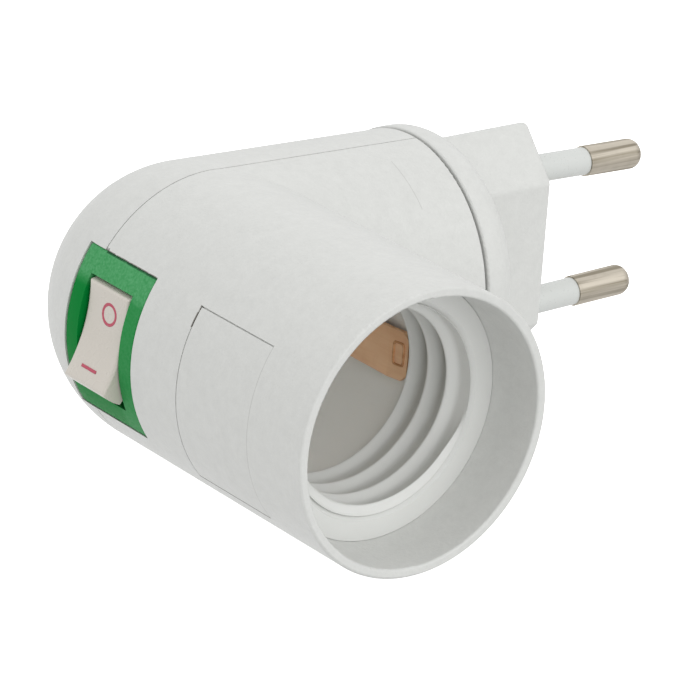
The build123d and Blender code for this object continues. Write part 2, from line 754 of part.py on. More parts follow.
# Leads: plug to switch, switch to centre contact, and plug to side contact.
# Each leaves its terminal straight, and the places between are clear of the screw bosses.
pin_end_x = -(pin_tail_z + seat_gap) * cos(radians(pin_lean))
pin_end_z = pin_spacing / 2 + (pin_tail_z + seat_gap) * sin(radians(pin_lean))
pin_exit_x = pin_end_x - lead_exit * cos(radians(pin_lean))
pin_exit_z = pin_end_z + lead_exit * sin(radians(pin_lean))
tab_end_x = tail_x + seat_gap
contact_mid_z = contact_tab_z + terminal_sheet / 2
tail_mid_z = centre_tail_z + strip / 2
tail_end_y = floor_back_y + tail_length + seat_gap
foot_end_x = side_x - side_foot + lead_r * 1.5
foot_back_y = foot_y + strip + seat_gap
inner_z = screw_z - boss_r - lead_r * 3
lead_routes = {
    "lead_line": [
        (pin_end_x, 0, pin_end_z),
        (pin_exit_x, 0, pin_exit_z),
        (screw_x + boss_r, lead_r, inner_z),
        (tab_end_x + lead_exit * 3.5, switch_y + lead_exit, lead_r * 2),
        (tab_end_x + lead_exit * 1.8, switch_y, 0),
        (tab_end_x, switch_y, 0),
    ],
    "lead_load": [
        (tab_end_x, switch_y, contact_mid_z),
        (tab_end_x + lead_exit * 1.8, switch_y, contact_mid_z),
        (tab_end_x + lead_exit * 2.2, lead_r, (contact_mid_z + tail_mid_z) / 2),
        (socket_x, tail_end_y + lead_exit * 2, tail_mid_z),
        (socket_x, tail_end_y, tail_mid_z),
    ],
    "lead_neutral": [
        (pin_end_x, 0, -pin_end_z),
        (pin_exit_x, 0, -pin_exit_z),
        (screw_x + boss_r, -lead_r, -inner_z),
        (side_x, -lead_exit, -inner_z),
        (foot_end_x, foot_back_y + lead_exit * 2, 0),
        (foot_end_x, foot_back_y, 0),
    ],
}
for name, points in lead_routes.items():
    radii = bend_radii(points)
    with BuildPart() as lead:
        with BuildLine() as route:
            FilletPolyline(*points, radius=radii)
        with BuildSketch(Plane(origin=route.line @ 0, z_dir=route.line % 0)):
            Circle(lead_r)
        sweep(path=route.line)
    route_length = sum(edge.length for edge in route.edges())
    print(name, "bend radii", [round(r, 1) for r in radii],
          "section times length", round(pi * lead_r**2 * route_length, 1))
    finish(lead.part, name)
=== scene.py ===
import bpy
import numpy as np
from mathutils import Matrix, Vector


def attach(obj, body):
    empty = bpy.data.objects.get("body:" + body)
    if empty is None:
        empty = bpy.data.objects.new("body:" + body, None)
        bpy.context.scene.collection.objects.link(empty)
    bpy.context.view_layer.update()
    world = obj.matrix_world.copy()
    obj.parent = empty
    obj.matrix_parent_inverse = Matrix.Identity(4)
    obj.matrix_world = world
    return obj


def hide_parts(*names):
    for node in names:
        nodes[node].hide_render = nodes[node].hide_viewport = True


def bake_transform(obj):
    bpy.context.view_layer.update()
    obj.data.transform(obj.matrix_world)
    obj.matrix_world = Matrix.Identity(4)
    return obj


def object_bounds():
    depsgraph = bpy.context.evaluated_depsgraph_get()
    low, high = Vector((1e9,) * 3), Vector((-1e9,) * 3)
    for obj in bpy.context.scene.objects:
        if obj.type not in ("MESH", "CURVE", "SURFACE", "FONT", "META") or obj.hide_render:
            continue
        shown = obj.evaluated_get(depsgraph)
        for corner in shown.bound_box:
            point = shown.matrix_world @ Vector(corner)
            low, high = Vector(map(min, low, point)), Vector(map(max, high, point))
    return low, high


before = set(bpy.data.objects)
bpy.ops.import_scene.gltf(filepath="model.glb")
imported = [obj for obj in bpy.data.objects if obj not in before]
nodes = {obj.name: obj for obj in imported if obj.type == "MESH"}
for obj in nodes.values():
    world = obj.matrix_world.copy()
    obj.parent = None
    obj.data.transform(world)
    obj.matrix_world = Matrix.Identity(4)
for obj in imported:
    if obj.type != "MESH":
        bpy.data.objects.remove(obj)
cadLow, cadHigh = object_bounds()
print("frame loaded:", len(nodes), "nodes")

mm = 0.001

# The part's own places, in mm, as the model has them
socket = {"axisX": -51.2, "threadLowY": -27.0, "wellR": 13.8}
rocker = {"pivot": (-66.1, -5.0, 0.0), "tilt": 15.0, "rise": 3.7, "half": 6.0, "hollow": 0.9}
sideStrip = {"faceX": -39.0, "topY": -26.4, "leanLength": 3.0, "leanOut": 0.6}


def linear(hexColour):
    # sRGB hex to linear: the low end is a straight line, the rest a 2.4 power
    raw = np.array([int(hexColour[i:i + 2], 16) for i in (1, 3, 5)]) / 255
    low = raw / 12.92
    high = ((raw + 0.055) / 1.055) ** 2.4
    return (*np.where(raw <= 0.04045, low, high), 1.0)


def addNode(tree, kind, inputs=None, **settings):
    node = tree.nodes.new(kind)
    for key, value in settings.items():
        setattr(node, key, value)
    for name, value in (inputs or {}).items():
        if isinstance(value, bpy.types.NodeSocket):
            tree.links.new(value, node.inputs[name])
        else:
            node.inputs[name].default_value = value
    return node


def startMaterial(name):
    material = bpy.data.materials.new(name)
    material.use_nodes = True
    tree = material.node_tree
    tree.nodes.clear()
    shader = addNode(tree, "ShaderNodeBsdfPrincipled")
    addNode(tree, "ShaderNodeOutputMaterial", {"Surface": shader.outputs["BSDF"]})
    place = addNode(tree, "ShaderNodeTexCoord").outputs["Object"]
    return material, tree, shader, place


def dress(material, nodeNames, pieces=()):
    meshes = [nodes[name].data for name in nodeNames] + [piece.data for piece in pieces]
    for mesh in meshes:
        mesh.materials.clear()
        mesh.materials.append(material)


def gridMesh(name, points, closeU=False, closeV=False, caps=False):
    # points has the shape (rows, columns, 3); each cell of the grid becomes one face, and caps close the
    # ends of a tube
    rows, columns = points.shape[:2]
    index = np.arange(rows * columns).reshape(rows, columns)
    ends = [index[0, ::-1].tolist(), index[-1].tolist()] if caps else []
    if closeU:
        index = np.concatenate([index, index[:1]], axis=0)
    if closeV:
        index = np.concatenate([index, index[:, :1]], axis=1)
    quads = np.stack([index[:-1, :-1], index[:-1, 1:], index[1:, 1:], index[1:, :-1]], axis=-1)
    mesh = bpy.data.meshes.new(name)
    mesh.from_pydata(points.reshape(-1, 3).tolist(), [], quads.reshape(-1, 4).tolist() + ends)
    mesh.polygons.foreach_set("use_smooth", np.ones(len(mesh.polygons), dtype=bool))
    mesh.update()
    piece = bpy.data.objects.new(name, mesh)
    bpy.context.scene.collection.objects.link(piece)
    return piece


def smoothStep(t):
    t = np.clip(t, 0, 1)
    return t * t * (3 - 2 * t)


# Camera, from a fit of the pins, rims, ledge and seam to the photograph
camera = {
    "place": (-0.4426229, -0.5171852, 0.2527395),
    "right": (0.7939838, -0.6039492, 0.0695348),
    "down": (-0.1723062, -0.3332472, -0.9269611),
    "forward": (0.5830098, 0.7240108, -0.3686570),
    "lens": 289.85, "sensor": 36.0, "nearest": 0.01, "farthest": 20.0,
}
cameraData = bpy.data.cameras.new("photoCamera")
cameraData.sensor_width = camera["sensor"]
cameraData.lens = camera["lens"]
cameraData.clip_start = camera["nearest"]
cameraData.clip_end = camera["farthest"]
cameraObject = bpy.data.objects.new("photoCamera", cameraData)
bpy.context.scene.collection.objects.link(cameraObject)
turn = Matrix((camera["right"], -Vector(camera["down"]), -Vector(camera["forward"]))).transposed()
cameraObject.matrix_world = Matrix.Translation(camera["place"]) @ turn.to_4x4()
bpy.context.scene.camera = cameraObject

# White surround, unevenly bright, two broad soft boxes in front, and a white floor that glows so much
# that hardly a shadow shows on it, as in the photograph
studio = {
    "lobes": {"above": ((0, 0, 1), 0.75), "below": ((0, 0, -1), 0.56), "left": ((-1, 0, 0), 0.49),
              "right": ((1, 0, 0), 0.47), "front": ((0, -1, 0), 0.22), "back": ((0, 1, 0), 0.70)},
    "ground": 1.0, "boxAim": (-0.04, -0.02, 0.0), "boxSize": 2.8,
    "boxes": {"mouthBox": {"place": (-0.10, -1.90, 0.55), "power": 20.5},
              "plugBox": {"place": (1.07, -1.53, 0.70), "power": 6.6}},
    "floorHalf": 3.0, "floorColour": "#fafafa", "floorGlow": 0.8, "floorRoughness": 0.7,
}


def floorGrid(half, level):
    # a flat square at one height
    x, y = np.meshgrid([-half, half], [-half, half])
    return np.stack([x, y, np.full_like(x, level)], axis=-1)


# Opal acrylic, lit from below: a blank pale ground. The surround already gives the part the light that comes
# up from it, so only the camera sees it
floor = gridMesh("studioFloor", floorGrid(studio["floorHalf"], cadLow.z))
floor.visible_diffuse = floor.visible_glossy = floor.visible_shadow = False
floorMaterial, _, shader, _ = startMaterial("backlitOpalAcrylic")
shader.inputs["Base Color"].default_value = linear(studio["floorColour"])
shader.inputs["Roughness"].default_value = studio["floorRoughness"]
shader.inputs["Emission Color"].default_value = linear(studio["floorColour"])
shader.inputs["Emission Strength"].default_value = studio["floorGlow"]
floor.data.materials.append(floorMaterial)

world = bpy.data.worlds.new("whiteSurround")
world.use_nodes = True
tree = world.node_tree
direction = addNode(tree, "ShaderNodeTexCoord").outputs["Generated"]
total = 0.0
for axis, strength in studio["lobes"].values():
    facing = addNode(tree, "ShaderNodeVectorMath", {0: direction, 1: axis}, operation="DOT_PRODUCT")
    lobe = addNode(tree, "ShaderNodeMapRange", {"Value": facing.outputs["Value"], "To Max": strength})
    total = addNode(tree, "ShaderNodeMath", {0: total, 1: lobe.outputs["Result"]}).outputs[0]
seen = addNode(tree, "ShaderNodeLightPath").outputs["Is Camera Ray"]
level = addNode(tree, "ShaderNodeMix", {"Factor": seen, "A": total, "B": studio["ground"]})
tree.links.new(level.outputs["Result"], tree.nodes["Background"].inputs["Strength"])
tree.nodes["Background"].inputs["Color"].default_value = linear("#ffffff")
bpy.context.scene.world = world

for name, box in studio["boxes"].items():
    lightData = bpy.data.lights.new(name, "AREA")
    lightData.shape = "SQUARE"
    lightData.size = studio["boxSize"]
    lightData.energy = box["power"]
    lightObject = bpy.data.objects.new(name, lightData)
    bpy.context.scene.collection.objects.link(lightObject)
    lightObject.location = box["place"]
    aim = Vector(studio["boxAim"]) - Vector(box["place"])
    lightObject.rotation_euler = aim.to_track_quat("-Z", "Y").to_euler()
bpy.context.scene.view_settings.view_transform = "Standard"
print("camera, floor and light in place")

# Lamp thread: a liner of the sleeve's bore that carries the rounded E27 thread, right-handed.
# Its first ridge rises out of the bore behind the ledge, and its last one runs out in the well.
lampThread = {
    "pitch": 3.629, "rootR": 13.38, "crestR": 12.2, "sharpness": 2.4,
    "frontY": -38.0, "frontFade": 0.45, "startY": -38.24, "startTurn": -8.0, "runIn": 30.0,
    "turns": 3, "endPast": 0.75, "endFade": 0.7, "cutTurn": -240.0, "runOut": 50.0,
    "embed": 0.06, "around": 288, "along": 120, "shadePower": 0.6, "lowerShade": 0.25,
    "sideSlope": 0.8, "sideMiddle": 0.7,
}


def threadPoints(t):
    # turn runs once round the bore from the cut, and y from the ledge to an end that follows the helix.
    # inner radius = root less depth times a raised cosine of the distance from the nearest crest in pitches;
    # the first ridge's depth grows from its start, and nothing stands in front of it.
    # the outer run comes back just inside the sleeve's wall, so the two close into a ring
    turn = t["cutTurn"] + np.linspace(0, 360, t["around"], endpoint=False)[:, None]
    firstCrest = t["startY"] + t["pitch"] * (t["startTurn"] - turn) / 360
    ending = smoothStep((turn - t["cutTurn"]) / t["runOut"])
    end = firstCrest + t["pitch"] * (t["turns"] - 1 + ending) + t["endPast"]
    y = t["frontY"] + (end - t["frontY"]) * np.linspace(0, 1, t["along"])[None, :]
    ridge = (y - firstCrest) / t["pitch"]
    wave = 0.5 + 0.5 * np.cos(2 * np.pi * ridge)
    rise = smoothStep((t["startTurn"] - turn) / t["runIn"]) * np.ones_like(y)
    share = np.where(ridge < -0.5, 0.0, np.where(ridge < 0.5, rise, 1.0))
    ends = smoothStep((y - t["frontY"]) / t["frontFade"]) * smoothStep((end - y) / t["endFade"])
    inner = t["rootR"] - (t["rootR"] - t["crestR"]) * wave ** t["sharpness"] * share * ends
    # painted shade lies between two ridges, weaker on the lower side, whose faces look up into the light from
    # above
    between = np.where(ridge < 0, 0.0, np.where(ridge < 1, rise, 1.0)) * (1 - wave ** t["shadePower"]) * ends
    height = smoothStep(np.sin(np.radians(turn)) * t["sideSlope"] + t["sideMiddle"])
    upper = t["lowerShade"] + (1 - t["lowerShade"]) * height
    # the outer run's four columns carry no painted shade
    grooveShade = np.pad(between * upper, ((0, 0), (0, 4)))
    bore = np.full_like(end, t["rootR"] + t["embed"])
    step = np.minimum(end, socket["threadLowY"])
    wide = np.where(end > socket["threadLowY"], socket["wellR"] + t["embed"], bore)
    r = np.concatenate([inner, wide, wide, bore, bore], axis=1)
    yAll = np.concatenate([y, end, step, step, np.full_like(end, t["frontY"])], axis=1)
    around = np.radians(turn)
    return np.stack([socket["axisX"] + r * np.cos(around), yAll, r * np.sin(around)], axis=-1) * mm, grooveShade


threadSurface, threadGrooveShade = threadPoints(lampThread)
threadPiece = gridMesh("lampThread", threadSurface, closeU=True, closeV=True)
# painted shade between the ridges, carried on the mesh as a point attribute
threadPiece.data.attributes.new("grooveShade", "FLOAT", "POINT").data.foreach_set("value", threadGrooveShade.ravel())
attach(threadPiece, "housing")
print("lamp thread made")

# Red O and I, printed on the rocker's hollow face
marks = {"lift": 0.02, "ink": 0.04, "line": 0.38,
         "ringY": -0.55, "ringV": 3.1, "ringHalfY": 1.3, "ringHalfV": 1.25,
         "barY": 0.2, "barV": -4.1, "barHalfY": 1.5,
         "ringSteps": 72, "lineSteps": 5, "barSteps": 13}


def onRockerFace(y, v, lift):
    # the face is an arc across the pivot: height above it = rise - hollow + R - sqrt(R^2 - v^2)
    arcR = (rocker["half"] ** 2 + rocker["hollow"] ** 2) / (2 * rocker["hollow"])
    u = rocker["rise"] - rocker["hollow"] + arcR - np.sqrt(arcR**2 - v**2) + lift
    tilt = np.radians(rocker["tilt"])
    out = np.array([-np.cos(tilt), 0, np.sin(tilt)])
    up = np.array([np.sin(tilt), 0, np.cos(tilt)])
    across = np.array([0.0, 1.0, 0.0])
    spot = np.array(rocker["pivot"]) + u[..., None] * out + v[..., None] * up + y[..., None] * across
    return spot * mm


def ringMark(m):
    # an ellipse's outline: the angle runs round and the line's width runs across
    angle = np.linspace(0, 2 * np.pi, m["ringSteps"], endpoint=False)[:, None]
    across = np.linspace(0.5, -0.5, m["lineSteps"])[None, :] * m["line"]
    y = m["ringY"] + (m["ringHalfY"] + across) * np.cos(angle)
    v = m["ringV"] + (m["ringHalfV"] + across) * np.sin(angle)
    return onRockerFace(y, v, m["lift"])


def barMark(m):
    # a rectangle: y runs along the bar and v across its line
    v, y = np.meshgrid(m["barV"] + np.linspace(-0.5, 0.5, m["lineSteps"]) * m["line"],
                       m["barY"] + np.linspace(m["barHalfY"], -m["barHalfY"], m["barSteps"]))
    return onRockerFace(y, v, m["lift"])


ringPiece = gridMesh("rockerRing", ringMark(marks), closeU=True)
barPiece = gridMesh("rockerBar", barMark(marks))
for piece in (ringPiece, barPiece):
    ink = piece.modifiers.new("ink", "SOLIDIFY")
    ink.thickness = marks["ink"] * mm
    ink.offset = -1.0
    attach(piece, "rocker")
print("switch marks made")

# Stamped frame on the leaning tip of the side contact, a raised bead round a small oblong
stamp = {"fromTop": 1.45, "halfAlong": 0.8, "halfAcross": 1.45, "beadR": 0.16, "square": 0.35, "across": 0.2,
         "steps": 96, "beadSteps": 10}


def stampPoints(s):
    # a circle carried along a rounded oblong: the oblong's two coordinates are signed powers of cos and sin
    angle = np.linspace(0, 2 * np.pi, s["steps"], endpoint=False)[:, None]
    ring = np.linspace(0, 2 * np.pi, s["beadSteps"], endpoint=False)[None, :]
    along = np.sign(np.cos(angle)) * np.abs(np.cos(angle)) ** s["square"]
    across = np.sign(np.sin(angle)) * np.abs(np.sin(angle)) ** s["square"]
    grow = s["beadR"] * np.cos(ring)
    a = (s["halfAlong"] + grow) * along
    b = (s["halfAcross"] + grow) * across + s["across"]
    high = s["beadR"] * np.sin(ring) + np.zeros_like(a)
    lean = np.array([-sideStrip["leanOut"], sideStrip["leanLength"], 0.0])
    lean = lean / np.linalg.norm(lean)
    normal = np.array([-lean[1], lean[0], 0.0])
    top = np.array([sideStrip["faceX"] + sideStrip["leanOut"], sideStrip["topY"], 0.0])
    middle = top + lean * s["fromTop"]
    side = np.array([0.0, 0.0, 1.0])
    return (middle + a[..., None] * lean + b[..., None] * side + high[..., None] * normal) * mm


stampPiece = gridMesh("contactStamp", stampPoints(stamp), closeU=True, closeV=True)
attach(stampPiece, "housing")
print("contact stamp made")

# Leads from the pins
leads = {
    "radius": 0.9, "around": 14, "steps": 10, "bendFromX": -34.0, "bendToX": -23.5,
    "lineRoute": [(-21.45, 0, 9.92), (-24.05, 0, 10.0), (-28.6, 0.9, 4.9), (-44.25, -2.4, 1.8),
                  (-48.67, -5.0, 0), (-53.35, -5.0, 0)],
    "neutralRoute": [(-21.45, 0, -9.92), (-24.05, 0, -10.0), (-28.6, -0.9, -4.9), (-39.0, -2.6, -4.9),
                     (-46.65, -5.6, 0), (-46.65, -10.8, 0)],
}


def smoothRoute(route, steps):
    # the route's NURBS spline, read back as points
    curve = bpy.data.curves.new("route", "CURVE")
    curve.dimensions = "3D"
    curve.resolution_u = steps
    spline = curve.splines.new("NURBS")
    spline.points.add(len(route) - 1)
    spline.points.foreach_set("co", np.insert(np.array(route) * mm, 3, 1.0, axis=1).ravel())
    spline.order_u = 3
    spline.use_endpoint_u = True
    holder = bpy.data.objects.new("route", curve)
    line = bpy.data.meshes.new_from_object(holder)
    points = np.empty(len(line.vertices) * 3)
    line.vertices.foreach_get("co", points)
    bpy.data.objects.remove(holder)
    bpy.data.curves.remove(curve)
    bpy.data.meshes.remove(line)
    return points.reshape(-1, 3)


def tubePoints(path, radius, around):
    # a circle carried along the path, across its direction: one axis of it is level, and the other
    # upright to both
    ahead = np.gradient(path, axis=0)
    ahead = ahead / np.linalg.norm(ahead, axis=1, keepdims=True)
    level = np.cross(ahead, (0.0, 0.0, 1.0))
    level = level / np.linalg.norm(level, axis=1, keepdims=True)
    upright = np.cross(ahead, level)
    angle = np.linspace(0, 2 * np.pi, around, endpoint=False)[None, :, None]
    return path[:, None] + radius * (np.cos(angle) * level[:, None] + np.sin(angle) * upright[:, None])


def makeLead(name, route, node):
    tube = tubePoints(smoothRoute(route, leads["steps"]), leads["radius"] * mm, leads["around"])
    piece = gridMesh(name, tube, closeV=True, caps=True)
    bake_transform(piece)
    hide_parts(node)
    return piece


lineLead = makeLead("lineLead", leads["lineRoute"], "lead_line")
neutralLead = makeLead("neutralLead", leads["neutralRoute"], "lead_neutral")
print("leads made")

# A Mix node's two colours and its result, by number because their names repeat
mixUnder, mixOver, mixResult = 6, 7, 2
# Most values of a noise lie between these
noiseLow, noiseHigh = 0.3, 0.7

# Finishes of the moulded pieces: cloud is a drift of tone from broad to fine, grain the texture of the mould
# and flecks are specks in the plastic. Real grain is about 0.05 mm across; it is drawn coarser, to show
mould = {"cloudDetail": 8.0, "cloudRoughness": 0.8, "grainDetail": 2.0, "fleckDetail": 1.0,
         "fleckBand": 0.06, "glossSpread": 0.06}


def mouldedFinish(name, look):
    material, tree, shader, place = startMaterial(name)
    cloud = addNode(tree, "ShaderNodeTexNoise",
                    {"Vector": place, "Scale": 1 / (look["cloudMm"] * mm), "Detail": mould["cloudDetail"],
                     "Roughness": mould["cloudRoughness"]})
    grain = addNode(tree, "ShaderNodeTexNoise",
                    {"Vector": place, "Scale": 1 / (look["grainMm"] * mm), "Detail": mould["grainDetail"]})
    fleck = addNode(tree, "ShaderNodeTexNoise",
                    {"Vector": place, "Scale": 1 / (look["fleckMm"] * mm), "Detail": mould["fleckDetail"]})
    speck = addNode(tree, "ShaderNodeMapRange",
                    {"Value": fleck.outputs["Fac"], "From Min": look["fleckFrom"],
                     "From Max": look["fleckFrom"] + mould["fleckBand"]})
    tone = addNode(tree, "ShaderNodeMix",
                   {"Factor": cloud.outputs["Fac"], mixUnder: linear(look["colour"]),
                    mixOver: linear(look["shade"])}, data_type="RGBA")
    spotted = addNode(tree, "ShaderNodeMix",
                      {"Factor": speck.outputs["Result"], mixUnder: tone.outputs[mixResult],
                       mixOver: linear(look["fleck"])}, data_type="RGBA")
    gloss = addNode(tree, "ShaderNodeMapRange",
                    {"Value": grain.outputs["Fac"], "From Min": noiseLow, "From Max": noiseHigh,
                     "To Min": look["roughness"] - mould["glossSpread"],
                     "To Max": look["roughness"] + mould["glossSpread"]})
    bump = addNode(tree, "ShaderNodeBump",
                   {"Height": grain.outputs["Fac"], "Strength": 1.0, "Distance": look["grainDepthMm"] * mm})
    colour = spotted.outputs[mixResult]
    tree.links.new(colour, shader.inputs["Base Color"])
    tree.links.new(gloss.outputs["Result"], shader.inputs["Roughness"])
    tree.links.new(bump.outputs["Normal"], shader.inputs["Normal"])
    shader.inputs["IOR"].default_value = look["ior"]
    return material, tree, shader, place, colour


# Fine lines and ragged painted shade. Each mark shows where the surface passes through a thin box: its middle
# and half size in mm, and how strongly it is drawn. Noise breaks the painted shade up, and colour is what the
# marks lie on
def drawMarks(tree, shader, place, colour, look):
    spot = addNode(tree, "ShaderNodeSeparateXYZ", {"Vector": place})
    patch = addNode(tree, "ShaderNodeTexNoise",
                    {"Vector": place, "Scale": 1 / (look["gapShadeMm"] * mm), "Detail": look["gapShadeDetail"]})
    ragged = addNode(tree, "ShaderNodeMapRange",
                     {"Value": patch.outputs["Fac"], "From Min": look["gapShadeFrom"],
                      "From Max": look["gapShadeFull"]})
    cover = {"line": 1.0, "gapShade": ragged.outputs["Result"]}
    for kind, middle, half, share in look["drawn"]:
        inside = addNode(tree, "ShaderNodeMath", {0: cover[kind], 1: share}, operation="MULTIPLY").outputs[0]
        for axis, mid, reach in zip("XYZ", middle, half):
            near = addNode(tree, "ShaderNodeMath", {0: spot.outputs[axis], 1: mid * mm, 2: reach * mm},
                           operation="COMPARE")
            inside = addNode(tree, "ShaderNodeMath", {0: near.outputs[0], 1: inside},
                             operation="MULTIPLY").outputs[0]
        marked = addNode(tree, "ShaderNodeMix",
                         {"Factor": inside, mixUnder: colour, mixOver: linear(look[kind])}, data_type="RGBA")
        colour = marked.outputs[mixResult]
    tree.links.new(colour, shader.inputs["Base Color"])


# ABS from a spark-eroded mould: satin, with soft broad highlights and a fine even grain
absShell = {"colour": "#e0e1de", "shade": "#c9cac7", "fleck": "#b9b8b2", "cloudMm": 1.6, "grainMm": 0.42,
            "grainDepthMm": 0.05, "fleckMm": 0.9, "fleckFrom": 0.81, "roughness": 0.38, "ior": 1.54,
            "line": "#8f8e88", "gapShade": "#564f45", "gapShadeMm": 0.9, "gapShadeDetail": 2.0,
            "gapShadeFrom": 0.3, "gapShadeFull": 0.48,
            "drawn": [("line", (-66.0, -35.8, -0.9), (14.0, 0.07, 11.2), 0.28),
                      ("line", (-26.2, -8.8, 15.0), (0.06, 3.4, 4.0), 0.28),
                      # painted shade: a dark line along the panel's lower groove
                      ("line", (-64.9, -28.6, -11.95), (2.0, 7.2, 0.12), 0.85),
                      # ragged painted shade in the panel's groove, in the gap over the switch plate and at
                      # the seam's end
                      ("gapShade", (-67.0, -21.4, 9.0), (1.5, 0.15, 1.25), 0.85),
                      ("gapShade", (-66.2, -6.8, 10.43), (1.0, 5.3, 0.06), 0.8),
                      ("gapShade", (-66.2, -1.5, 10.5), (0.8, 0.3, 0.16), 0.9)]}
shellMaterial, tree, shader, place, colour = mouldedFinish("sparkErodedAbsWhite", absShell)
# Two faint mould lines, painted shade along the panel's lower groove, and ragged painted shade in the groove
# at the panel's upper corner, in the gap over the switch plate and at the seam's end
drawMarks(tree, shader, place, colour, absShell)
dress(shellMaterial, ["front_shell", "back_shell", "plug_body"])
# PBT of the lamp socket: heat-proof, smoother and a shade paler than the housing; painted light makes it
# palest down in the well
pbtSocket = {"colour": "#e2e3e0", "shade": "#dbdcd9", "fleck": "#cfcdc6", "cloudMm": 8.0, "grainMm": 0.5,
             "grainDepthMm": 0.005, "fleckMm": 0.7, "fleckFrom": 0.82, "roughness": 0.34, "ior": 1.55,
             "wellLitColour": "#f7f8f5", "litFromY": -29.0}
socketMaterial, tree, shader, place, colour = mouldedFinish("smoothPbtWhite", pbtSocket)
# painted light: the colour turns paler from the ledge down into the well
depth = addNode(tree, "ShaderNodeMapRange",
                {"Value": addNode(tree, "ShaderNodeSeparateXYZ", {"Vector": place}).outputs["Y"],
                 "From Min": pbtSocket["litFromY"] * mm, "From Max": socket["threadLowY"] * mm})
litWell = addNode(tree, "ShaderNodeMix",
                {"Factor": depth.outputs["Result"], mixUnder: colour,
                 mixOver: linear(pbtSocket["wellLitColour"])}, data_type="RGBA")
tree.links.new(litWell.outputs[mixResult], shader.inputs["Base Color"])
dress(socketMaterial, ["thread_sleeve"])
# The same PBT on the thread, greyed between the ridges by painted shade
threadLook = {**pbtSocket, "grooveShade": "#a2a29d"}
threadMaterial, tree, shader, _, colour = mouldedFinish("smoothPbtThread", threadLook)
# painted shade: the thread's colour is greyed where this attribute is high
grooveShade = addNode(tree, "ShaderNodeAttribute", attribute_name="grooveShade")
grooveShaded = addNode(tree, "ShaderNodeMix",
                 {"Factor": grooveShade.outputs["Fac"], mixUnder: colour, mixOver: linear(threadLook["grooveShade"])},
                 data_type="RGBA")
tree.links.new(grooveShaded.outputs[mixResult], shader.inputs["Base Color"])
dress(threadMaterial, [], [threadPiece])
# Polyamide sleeves, moulded on the pins: smoother and a little glossier than the housing
pinSleeve = {"colour": "#d4d6d3", "shade": "#ced1ce", "fleck": "#c3c5c2", "cloudMm": 5.0, "grainMm": 0.35,
             "grainDepthMm": 0.003, "fleckMm": 0.6, "fleckFrom": 0.8, "roughness": 0.32, "ior": 1.53}
sleeveMaterial = mouldedFinish("polyamideSleeveWhite", pinSleeve)[0]
dress(sleeveMaterial, ["pin_sleeve_upper", "pin_sleeve_lower"])
# Dyed polyamide of the switch plate: a deep green with little gloss, with a painted sheen that makes it paler
# at both ends and towards the mouth
greenPlate = {"colour": "#068538", "shade": "#027b31", "fleck": "#1d9048", "cloudMm": 4.0, "grainMm": 0.45,
              "grainDepthMm": 0.008, "fleckMm": 0.8, "fleckFrom": 0.78, "roughness": 0.36, "ior": 1.53,
              "paintedSheen": "#5aa870", "sheenMiddleZ": -2.0, "sheenFrom": 7.6, "sheenFull": 9.6, "sheenPatchMm": 0.35,
              "sheenPatchDetail": 2.0, "sheenLeast": 0.5, "specular": 0.04,
              "sideFrom": -7.8, "sideFull": -9.0, "sideShare": 0.4,
              "gapShade": "#1f4630", "gapShadeMm": 0.9, "gapShadeDetail": 2.0, "gapShadeFrom": 0.3, "gapShadeFull": 0.48,
              "drawn": [("gapShade", (-66.2, -6.8, 10.22), (1.2, 5.3, 0.12), 0.75)]}
greenMaterial, tree, shader, place, colour = mouldedFinish("dyedPolyamideGreen", greenPlate)
shader.inputs["Specular IOR Level"].default_value = greenPlate["specular"]
# painted sheen: paler towards both ends of the plate and towards the mouth, in patches
spot = addNode(tree, "ShaderNodeSeparateXYZ", {"Vector": place})
away = addNode(tree, "ShaderNodeMath", {0: spot.outputs["Z"], 1: greenPlate["sheenMiddleZ"] * mm},
               operation="SUBTRACT")
height = addNode(tree, "ShaderNodeMath", {0: away.outputs[0]}, operation="ABSOLUTE")
reach = addNode(tree, "ShaderNodeMapRange",
                {"Value": height.outputs[0], "From Min": greenPlate["sheenFrom"] * mm,
                 "From Max": greenPlate["sheenFull"] * mm}, interpolation_type="SMOOTHSTEP")
sheenPatches = addNode(tree, "ShaderNodeTexNoise",
              {"Vector": place, "Scale": 1 / (greenPlate["sheenPatchMm"] * mm),
               "Detail": greenPlate["sheenPatchDetail"]})
patchy = addNode(tree, "ShaderNodeMapRange",
                 {"Value": sheenPatches.outputs["Fac"], "From Min": noiseLow, "From Max": noiseHigh,
                  "To Min": greenPlate["sheenLeast"]})
side = addNode(tree, "ShaderNodeMapRange",
               {"Value": spot.outputs["Y"], "From Min": greenPlate["sideFrom"] * mm,
                "From Max": greenPlate["sideFull"] * mm, "To Max": greenPlate["sideShare"]})
most = addNode(tree, "ShaderNodeMath", {0: reach.outputs["Result"], 1: side.outputs["Result"]},
               operation="MAXIMUM")
share = addNode(tree, "ShaderNodeMath", {0: most.outputs[0], 1: patchy.outputs["Result"]},
                operation="MULTIPLY")
sheened = addNode(tree, "ShaderNodeMix",
               {"Factor": share.outputs[0], mixUnder: colour, mixOver: linear(greenPlate["paintedSheen"])},
               data_type="RGBA")
# Painted shade along its upper edge, at the gap to the housing
drawMarks(tree, shader, place, sheened.outputs[mixResult], greenPlate)
dress(greenMaterial, ["switch_frame"])
# Polished polycarbonate rocker: a warm white with a clear gloss, dulled a little by touch
warmRocker = {"colour": "#d6d0c7", "shade": "#cfc9bf", "fleck": "#c2bbb0", "cloudMm": 5.0, "grainMm": 2.0,
              "grainDepthMm": 0.0008, "fleckMm": 0.7, "fleckFrom": 0.83, "roughness": 0.28, "ior": 1.58}
rockerMaterial = mouldedFinish("polishedPolycarbonateWhite", warmRocker)[0]
dress(rockerMaterial, ["rocker"])
# Glass-filled polyamide inside the switch: matt black with paler ends of fibre in it
blackBase = {"colour": "#1b1b1d", "shade": "#141416", "fleck": "#4a4a4c", "cloudMm": 3.0, "grainMm": 0.3,
             "grainDepthMm": 0.02, "fleckMm": 0.35, "fleckFrom": 0.68, "roughness": 0.55, "ior": 1.53}
blackMaterial = mouldedFinish("glassFilledPolyamideBlack", blackBase)[0]
dress(blackMaterial, ["switch_base"])
